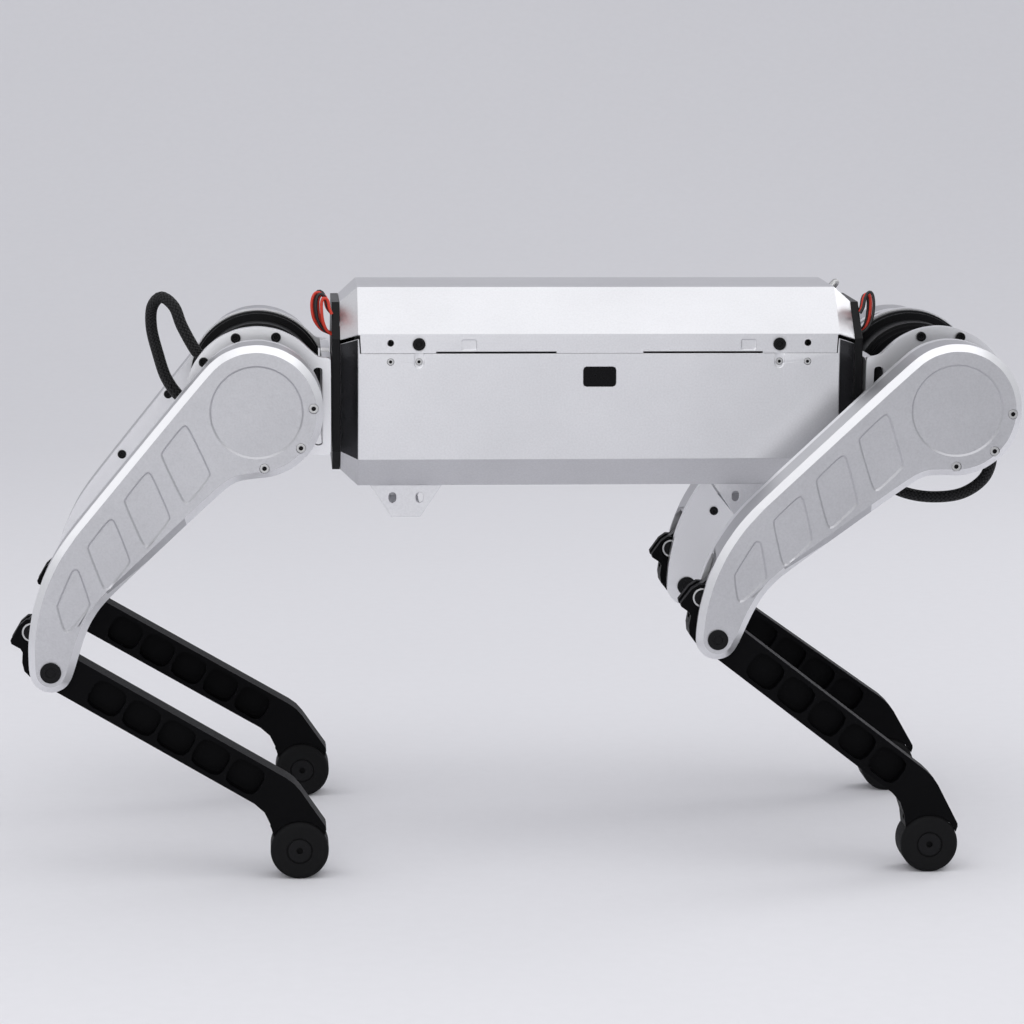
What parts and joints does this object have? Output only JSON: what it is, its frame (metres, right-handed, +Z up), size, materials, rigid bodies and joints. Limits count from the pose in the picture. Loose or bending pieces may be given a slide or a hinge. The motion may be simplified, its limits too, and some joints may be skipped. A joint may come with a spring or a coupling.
{
  "type": "quadruped robot",
  "caption": "Walking robot with a chamfered metal torso and jointed legs, each driven at hip and knee by motors, on round rubber feet.",
  "frame": {"origin": "on the floor under the middle of the robot's box, without its cables", "axes": "+X forwards, +Y to the robot's left, +Z up"},
  "size_m": [1.0192, 0.4246, 0.5884],
  "materials": {
    "aluminium": "bead blasted, clear anodised",
    "black_metal": "black anodised, satin",
    "dark_housing": "dark grey, satin",
    "dark_plastic": "moulded, matt",
    "steel": "turned",
    "black_plastic": "moulded, matt",
    "rubber": "matt",
    "braid": "woven sleeve",
    "window": "glossy"
  },
  "bodies": {
    "torso": {"antenna": "steel", "battery_pack": "dark_plastic", "controller_box": "dark_plastic", "fl_abduction_motor": "black_metal", "fr_abduction_motor": "black_metal", "front_bulkhead": "black_plastic", "front_skid": "aluminium", "rear_bulkhead": "black_plastic", "rear_skid": "aluminium", "rl_abduction_motor": "black_metal", "rr_abduction_motor": "black_metal", "side_window": "window", "torso_lid": "aluminium", "torso_tub": "aluminium"},
    "fr_hip": {"fr_hip_yoke": "aluminium", "fr_hip_motor": "black_metal", "front_cable_loop": "braid"},
    "fr_thigh": {"fr_knee_motor": "dark_housing", "fr_thigh_inner_shell": "aluminium", "fr_thigh_outer_shell": "aluminium", "fr_knee_pin": "black_metal"},
    "fr_drive": {"fr_crank": "dark_housing"},
    "fr_rod": {"fr_push_rod": "black_metal"},
    "fr_lower_leg": {"fr_shin": "black_plastic", "fr_lever_pin": "steel", "fr_foot": "rubber"},
    "fl_hip": {"fl_hip_yoke": "aluminium", "fl_hip_motor": "black_metal"},
    "fl_thigh": {"fl_knee_motor": "dark_housing", "fl_thigh_inner_shell": "aluminium", "fl_thigh_outer_shell": "aluminium", "fl_knee_pin": "black_metal"},
    "fl_drive": {"fl_crank": "dark_housing"},
    "fl_rod": {"fl_push_rod": "black_metal"},
    "fl_lower_leg": {"fl_shin": "black_plastic", "fl_lever_pin": "steel", "fl_foot": "rubber"},
    "rr_hip": {"rr_hip_yoke": "aluminium", "rr_hip_motor": "black_metal", "rear_cable_loop": "braid"},
    "rr_thigh": {"rr_knee_motor": "dark_housing", "rr_thigh_inner_shell": "aluminium", "rr_thigh_outer_shell": "aluminium", "rr_knee_pin": "black_metal"},
    "rr_drive": {"rr_crank": "dark_housing"},
    "rr_rod": {"rr_push_rod": "black_metal"},
    "rr_lower_leg": {"rr_shin": "black_plastic", "rr_lever_pin": "steel", "rr_foot": "rubber"},
    "rl_hip": {"rl_hip_yoke": "aluminium", "rl_hip_motor": "black_metal"},
    "rl_thigh": {"rl_knee_motor": "dark_housing", "rl_thigh_inner_shell": "aluminium", "rl_thigh_outer_shell": "aluminium", "rl_knee_pin": "black_metal"},
    "rl_drive": {"rl_crank": "dark_housing"},
    "rl_rod": {"rl_push_rod": "black_metal"},
    "rl_lower_leg": {"rl_shin": "black_plastic", "rl_lever_pin": "steel", "rl_foot": "rubber"}
  },
  "joints": [
    {"name": "fr_abduction", "type": "hinge", "parent": "torso", "child": "fr_hip", "pos_m": [0.43626, -0.058, 0.47714], "axis": [-1, 0, 0], "range_deg": [-15, 30]},
    {"name": "fr_hip_pitch", "type": "hinge", "parent": "fr_hip", "child": "fr_thigh", "pos_m": [0.43626, -0.058, 0.47714], "axis": [0, 1, 0], "range_deg": [-40, 45]},
    {"name": "fr_knee", "type": "hinge", "parent": "fr_thigh", "child": "fr_lower_leg", "pos_m": [0.19833, -0.058, 0.24558], "axis": [0, 1, 0], "range_deg": [-40, 32]},
    {"name": "fr_crank_turn", "type": "hinge", "parent": "fr_thigh", "child": "fr_drive", "pos_m": [0.43626, -0.058, 0.47714], "axis": [0, 1, 0], "range_deg": [-40, 32]},
    {"name": "fr_rod_turn", "type": "hinge", "parent": "fr_drive", "child": "fr_rod", "pos_m": [0.42175, -0.058, 0.51762], "axis": [0, 1, 0], "range_deg": [-32, 40]},
    {"name": "fl_abduction", "type": "hinge", "parent": "torso", "child": "fl_hip", "pos_m": [0.43626, 0.058, 0.47714], "axis": [1, 0, 0], "range_deg": [-15, 30]},
    {"name": "fl_hip_pitch", "type": "hinge", "parent": "fl_hip", "child": "fl_thigh", "pos_m": [0.43626, 0.058, 0.47714], "axis": [0, 1, 0], "range_deg": [-40, 45]},
    {"name": "fl_knee", "type": "hinge", "parent": "fl_thigh", "child": "fl_lower_leg", "pos_m": [0.20768, 0.058, 0.23635], "axis": [0, 1, 0], "range_deg": [-40, 32]},
    {"name": "fl_crank_turn", "type": "hinge", "parent": "fl_thigh", "child": "fl_drive", "pos_m": [0.43626, 0.058, 0.47714], "axis": [0, 1, 0], "range_deg": [-40, 32]},
    {"name": "fl_rod_turn", "type": "hinge", "parent": "fl_drive", "child": "fl_rod", "pos_m": [0.42011, 0.058, 0.51699], "axis": [0, 1, 0], "range_deg": [-32, 40]},
    {"name": "rr_abduction", "type": "hinge", "parent": "torso", "child": "rr_hip", "pos_m": [-0.26334, -0.058, 0.47714], "axis": [-1, 0, 0], "range_deg": [-15, 30]},
    {"name": "rr_hip_pitch", "type": "hinge", "parent": "rr_hip", "child": "rr_thigh", "pos_m": [-0.26334, -0.058, 0.47714], "axis": [0, 1, 0], "range_deg": [-40, 45]},
    {"name": "rr_knee", "type": "hinge", "parent": "rr_thigh", "child": "rr_lower_leg", "pos_m": [-0.4692, -0.058, 0.21666], "axis": [0, 1, 0], "range_deg": [-40, 32]},
    {"name": "rr_crank_turn", "type": "hinge", "parent": "rr_thigh", "child": "rr_drive", "pos_m": [-0.26334, -0.058, 0.47714], "axis": [0, 1, 0], "range_deg": [-40, 32]},
    {"name": "rr_rod_turn", "type": "hinge", "parent": "rr_drive", "child": "rr_rod", "pos_m": [-0.28272, -0.058, 0.51553], "axis": [0, 1, 0], "range_deg": [-32, 40]},
    {"name": "rl_abduction", "type": "hinge", "parent": "torso", "child": "rl_hip", "pos_m": [-0.26334, 0.058, 0.47714], "axis": [1, 0, 0], "range_deg": [-15, 30]},
    {"name": "rl_hip_pitch", "type": "hinge", "parent": "rl_hip", "child": "rl_thigh", "pos_m": [-0.26334, 0.058, 0.47714], "axis": [0, 1, 0], "range_deg": [-40, 45]},
    {"name": "rl_knee", "type": "hinge", "parent": "rl_thigh", "child": "rl_lower_leg", "pos_m": [-0.46604, 0.058, 0.2142], "axis": [0, 1, 0], "range_deg": [-40, 32]},
    {"name": "rl_crank_turn", "type": "hinge", "parent": "rl_thigh", "child": "rl_drive", "pos_m": [-0.26334, 0.058, 0.47714], "axis": [0, 1, 0], "range_deg": [-40, 32]},
    {"name": "rl_rod_turn", "type": "hinge", "parent": "rl_drive", "child": "rl_rod", "pos_m": [-0.2831, 0.058, 0.51533], "axis": [0, 1, 0], "range_deg": [-32, 40]}
  ],
  "couplings": [
    {"joint": "fr_crank_turn", "follows": "fr_knee", "ratio": 1},
    {"joint": "fr_rod_turn", "follows": "fr_knee", "ratio": -1},
    {"joint": "fl_crank_turn", "follows": "fl_knee", "ratio": 1},
    {"joint": "fl_rod_turn", "follows": "fl_knee", "ratio": -1},
    {"joint": "rr_crank_turn", "follows": "rr_knee", "ratio": 1},
    {"joint": "rr_rod_turn", "follows": "rr_knee", "ratio": -1},
    {"joint": "rl_crank_turn", "follows": "rl_knee", "ratio": 1},
    {"joint": "rl_rod_turn", "follows": "rl_knee", "ratio": -1}
  ]
}
